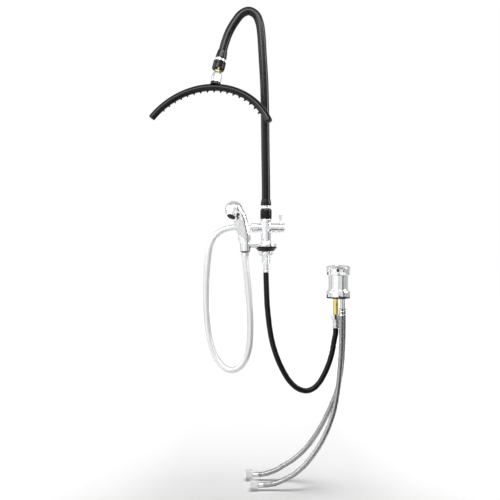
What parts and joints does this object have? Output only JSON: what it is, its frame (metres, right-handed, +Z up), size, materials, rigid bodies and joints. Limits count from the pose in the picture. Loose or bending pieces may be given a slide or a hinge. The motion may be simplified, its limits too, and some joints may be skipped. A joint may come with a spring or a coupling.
{
  "type": "salon rinse faucet set",
  "caption": "Deck-mounted rinse faucet set: diverter column with flexible gooseneck and arched spray bar, hand shower in a side holder, single-lever mixer, link and supply hoses.",
  "frame": {"origin": "centre of the column's deck hole, on the underside of its cone gasket", "axes": "+Z up along the column; +X towards the mixer and the diverter lever; -Y to the front, where the hand shower and the mixer lever face"},
  "size_m": [0.4641, 0.1388, 1.0998],
  "materials": {
    "chrome": "polished",
    "brass": "machined",
    "steel": "drawn",
    "braid": "woven wire",
    "black_rubber": "satin",
    "black_plastic": "semi-gloss",
    "grey_plastic": "soft matte",
    "white_plastic": "moulded",
    "plated_plastic": "chrome plated",
    "silver_hose": "smooth with a fine silver weave",
    "indicator": "gloss"
  },
  "bodies": {
    "root": {"column_body": "chrome", "cone_gasket": "black_rubber", "lock_nut": "chrome", "threaded_shank": "chrome", "link_top_connector": "chrome", "diverter_cartridge": "brass", "outlet_washer": "black_rubber", "outlet_nut": "chrome", "shower_holder": "chrome", "holder_liner": "black_plastic", "hand_hose": "silver_hose", "mixer_body": "chrome", "mixer_gasket": "black_rubber", "mixer_cartridge": "white_plastic", "retaining_ring": "brass", "outlet_pipe": "brass", "link_nut": "chrome", "link_ferrule": "steel", "link_hose": "black_rubber", "supply_tail_front": "steel", "supply_hose_front": "braid", "supply_ferrule_front": "steel", "supply_tail_back": "steel", "supply_hose_back": "braid", "supply_ferrule_back": "steel"},
    "diverter": {"diverter_spindle": "steel", "diverter_knob": "chrome", "diverter_lever": "chrome"},
    "gooseneck": {"swivel_ferrule": "black_plastic", "swivel_ring": "chrome", "lower_cuff": "black_rubber", "gooseneck_hose": "black_rubber", "gooseneck_core": "steel", "upper_cuff": "black_rubber", "upper_ring": "chrome", "ball_socket": "black_plastic", "ball_seal": "black_rubber"},
    "ball_joint": {"ball_stem": "brass"},
    "spray_arc": {"bell_connector": "chrome", "arc_saddle": "black_plastic", "arc_tube": "black_plastic", "nozzle_strip": "black_rubber", "arc_cap_left": "black_plastic", "arc_cap_right": "black_plastic"},
    "hand_shower": {"shower_body": "plated_plastic", "grip_panel": "grey_plastic", "spray_face": "black_plastic", "shower_seal": "black_rubber", "shower_nut": "chrome"},
    "mixer_carrier": {"cartridge_carrier": "white_plastic"},
    "mixer_handle": {"mixer_handle": "chrome", "indicator_dot": "indicator", "cartridge_stem": "brass"},
    "supply_nut_front": {"supply_nut_front": "chrome"},
    "supply_nut_back": {"supply_nut_back": "chrome"}
  },
  "joints": [
    {"name": "gooseneck_swivel", "type": "hinge", "parent": "root", "child": "gooseneck", "pos_m": [0, 0, 0.08], "axis": [0, 0, 1], "continuous": true},
    {"name": "arc_tilt", "type": "hinge", "parent": "gooseneck", "child": "ball_joint", "pos_m": [-0.1095, 0, 0.4213], "axis": [-1, 0, 0], "range_deg": [-18, 9]},
    {"name": "arc_spin", "type": "hinge", "parent": "ball_joint", "child": "spray_arc", "pos_m": [-0.1095, 0, 0.4213], "axis": [-0.1569, -0.2389, -0.9583], "range_deg": [0, 118]},
    {"name": "diverter_turn", "type": "hinge", "parent": "root", "child": "diverter", "pos_m": [0.035, 0, 0.0536], "axis": [1, 0, 0], "range_deg": [-90, 90]},
    {"name": "shower_lift", "type": "slide", "parent": "root", "child": "hand_shower", "axis": [0, 0, 1], "range_m": [0, 0.05]},
    {"name": "mixer_turn", "type": "hinge", "parent": "root", "child": "mixer_carrier", "pos_m": [0.1663, 0, -0.052], "axis": [0, 0, 1], "range_deg": [-45, 45]},
    {"name": "mixer_lift", "type": "hinge", "parent": "mixer_carrier", "child": "mixer_handle", "pos_m": [0.1663, 0, -0.052], "axis": [-0.9877, 0.1564, 0], "range_deg": [0, 16]},
    {"name": "front_nut_spin", "type": "hinge", "parent": "root", "child": "supply_nut_front", "pos_m": [-0.0065, -0.025, -0.5285], "axis": [-0.9993, 0, -0.0379], "continuous": true},
    {"name": "back_nut_spin", "type": "hinge", "parent": "root", "child": "supply_nut_back", "pos_m": [-0.0175, 0.046, -0.528], "axis": [-0.9989, 0, -0.0469], "continuous": true}
  ]
}
